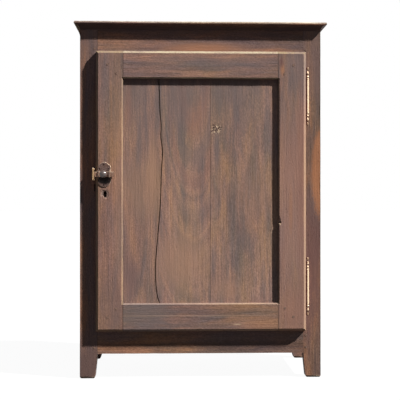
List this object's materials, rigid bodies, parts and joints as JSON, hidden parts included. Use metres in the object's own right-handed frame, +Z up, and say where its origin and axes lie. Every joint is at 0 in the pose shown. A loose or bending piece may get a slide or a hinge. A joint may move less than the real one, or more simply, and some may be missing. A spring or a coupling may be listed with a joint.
{
  "type": "one-door cupboard",
  "caption": "Low country cupboard with a pegged frame, coved cornice, tapered feet and one panelled door on long turned hinges, closed by an iron slide latch and a rim lock",
  "frame": {"origin": "on the floor, under the middle of the whole object's box", "axes": "+Z up, the door faces -Y, +X is the side of the hinges"},
  "size_m": [0.88, 0.4824, 1.241],
  "materials": {
    "waxed_wood": "dark brown waxed and worn wood, bare along the arrises",
    "panel_wood": "brown waxed boards with grey and orange streaks along the grain",
    "inner_wood": "plain unwaxed boards, dusty and grey",
    "peg_wood": "dark end grain of wooden pegs",
    "iron": "hand-forged iron, dark and rubbed bright where it is touched",
    "hinge_metal": "old polished brass, dark in the turned grooves"
  },
  "bodies": {
    "case": {"back_board_1": "inner_wood", "back_board_2": "inner_wood", "back_board_3": "inner_wood", "back_board_4": "inner_wood", "case_pegs": "peg_wood", "cornice_front": "waxed_wood", "cornice_left": "waxed_wood", "cornice_right": "waxed_wood", "floor_bearer_left": "inner_wood", "floor_bearer_right": "inner_wood", "floor_board_front": "inner_wood", "floor_board_middle": "inner_wood", "floor_board_rear": "inner_wood", "front_bottom_rail": "waxed_wood", "front_left_post": "waxed_wood", "front_right_post": "waxed_wood", "front_top_rail": "waxed_wood", "latch_keeper": "iron", "left_bottom_rail": "waxed_wood", "left_side_panel": "waxed_wood", "left_top_rail": "waxed_wood", "lower_hinge_case_half": "hinge_metal", "lower_hinge_pin": "hinge_metal", "lower_shelf": "inner_wood", "lower_shelf_cleat_left": "inner_wood", "lower_shelf_cleat_right": "inner_wood", "rear_bottom_rail": "inner_wood", "rear_left_post": "waxed_wood", "rear_right_post": "waxed_wood", "rear_top_rail": "inner_wood", "right_bottom_rail": "waxed_wood", "right_side_panel": "waxed_wood", "right_top_rail": "waxed_wood", "top_board_front": "inner_wood", "top_board_rear": "inner_wood", "upper_hinge_case_half": "hinge_metal", "upper_hinge_pin": "hinge_metal", "upper_shelf": "inner_wood", "upper_shelf_cleat_left": "inner_wood", "upper_shelf_cleat_right": "inner_wood"},
    "door": {"door_bottom_rail": "waxed_wood", "door_hinge_stile": "waxed_wood", "door_lock_stile": "waxed_wood", "door_panel_left": "panel_wood", "door_panel_middle": "panel_wood", "door_panel_right": "panel_wood", "door_pegs": "peg_wood", "door_top_rail": "waxed_wood", "latch_nails": "iron", "latch_plate": "iron", "latch_strap_left": "iron", "latch_strap_right": "iron", "lock_case": "iron", "lock_plate": "iron", "lock_screws": "iron", "lower_hinge_door_half": "hinge_metal", "upper_hinge_door_half": "hinge_metal"},
    "latch": {"latch_bolt": "iron", "latch_knob": "iron"},
    "lock": {"lock_bolt": "iron"}
  },
  "joints": [
    {"name": "door_swing", "type": "hinge", "parent": "case", "child": "door", "pos_m": [0.3727, -0.18484, 0.65], "axis": [0, 0, 1], "range_deg": [0, 135]},
    {"name": "latch_slide", "type": "slide", "parent": "door", "child": "latch", "axis": [-1, 0, 0], "range_m": [0, 0.011]},
    {"name": "lock_throw", "type": "slide", "parent": "door", "child": "lock", "axis": [-1, 0, 0], "range_m": [0, 0.014]}
  ]
}
